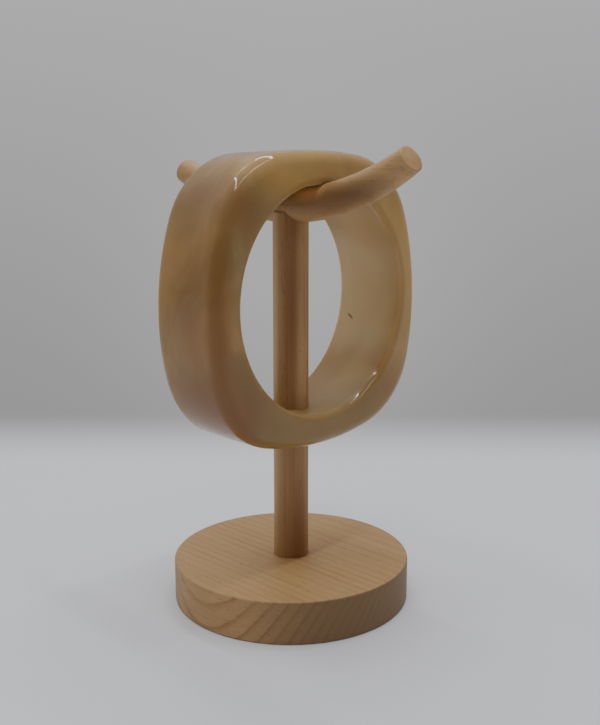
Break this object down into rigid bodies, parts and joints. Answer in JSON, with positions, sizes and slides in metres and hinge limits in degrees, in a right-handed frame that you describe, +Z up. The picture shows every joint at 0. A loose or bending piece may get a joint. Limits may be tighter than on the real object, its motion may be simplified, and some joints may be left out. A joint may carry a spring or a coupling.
{
  "type": "bangle on display stand",
  "caption": "Polished stone bangle with a round bore and a cushion-shaped outline, hanging on the curved arm of a plain round wooden display stand.",
  "frame": {"origin": "middle of the base's underside, on the surface that the stand rests on", "axes": "+Z up along the post; the arm and the bangle's bore run along Y, and the arm's near end and the bangle's near face look toward -Y"},
  "size_m": [0.079, 0.09, 0.1271],
  "materials": {
    "agate": "high polish",
    "base_beech": "fine sanded, unvarnished",
    "post_beech": "fine sanded, unvarnished",
    "arm_beech": "fine sanded, unvarnished"
  },
  "bodies": {
    "root": {"bangle": "agate", "stand_base": "base_beech", "stand_post": "post_beech", "stand_arm": "arm_beech"}
  },
  "joints": []
}
